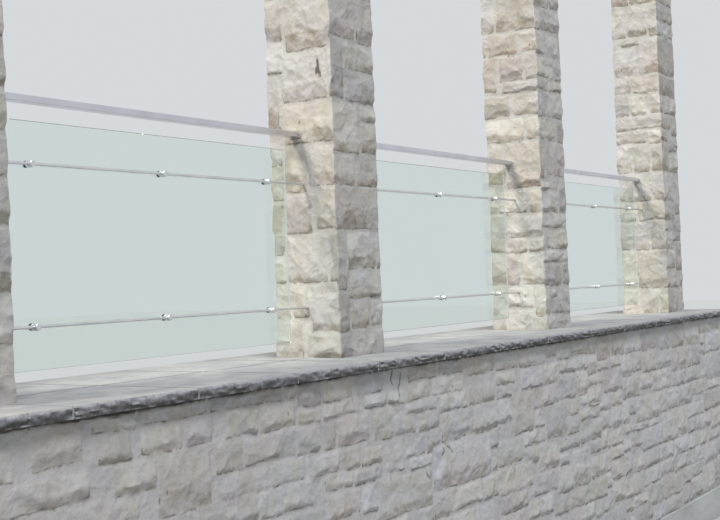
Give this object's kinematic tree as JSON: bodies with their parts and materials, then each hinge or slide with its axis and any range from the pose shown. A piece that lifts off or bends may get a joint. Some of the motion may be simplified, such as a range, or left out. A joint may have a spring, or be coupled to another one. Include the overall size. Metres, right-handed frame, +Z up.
{
  "type": "glass railing between stone piers",
  "caption": "Glass guard railing: drilled panes on round steel rods under a flat steel top rail, between square stone piers on a coped stone base wall.",
  "frame": {"origin": "on the ground, in the middle of the base wall, on the piers' middle plane", "axes": "+X along the railing to the right as seen from the walk in front, +Y away from the walk, +Z up"},
  "size_m": [7.89, 0.99, 4.2],
  "materials": {
    "wall_stone": "rock-faced limestone",
    "coping_stone": "natural cleft",
    "mortar": "struck mortar",
    "render": "smooth cement render",
    "satin_steel": "satin",
    "polished_steel": "polished",
    "glass": "clear, polished edges",
    "gasket_rubber": "matt",
    "bush_plastic": "matt"
  },
  "bodies": {
    "root": {"footing": "render", "base_wall": "wall_stone", "coping_front": "coping_stone", "coping_back": "coping_stone", "coping_pointing": "mortar", "pier_1": "wall_stone", "pier_2": "wall_stone", "pier_3": "wall_stone", "pier_4": "wall_stone", "top_rail_bay_1": "satin_steel", "upper_rod_bay_1": "polished_steel", "lower_rod_bay_1": "polished_steel", "glass_panel_bay_1": "glass", "rod_holders_bay_1": "polished_steel", "front_gaskets_bay_1": "gasket_rubber", "hole_bushes_bay_1": "bush_plastic", "back_gaskets_bay_1": "gasket_rubber", "back_discs_bay_1": "polished_steel", "set_screws_bay_1": "polished_steel", "top_rail_bay_2": "satin_steel", "upper_rod_bay_2": "polished_steel", "lower_rod_bay_2": "polished_steel", "glass_panel_bay_2": "glass", "rod_holders_bay_2": "polished_steel", "front_gaskets_bay_2": "gasket_rubber", "hole_bushes_bay_2": "bush_plastic", "back_gaskets_bay_2": "gasket_rubber", "back_discs_bay_2": "polished_steel", "set_screws_bay_2": "polished_steel", "top_rail_bay_3": "satin_steel", "upper_rod_bay_3": "polished_steel", "lower_rod_bay_3": "polished_steel", "glass_panel_bay_3": "glass", "rod_holders_bay_3": "polished_steel", "front_gaskets_bay_3": "gasket_rubber", "hole_bushes_bay_3": "bush_plastic", "back_gaskets_bay_3": "gasket_rubber", "back_discs_bay_3": "polished_steel", "set_screws_bay_3": "polished_steel"}
  },
  "joints": []
}
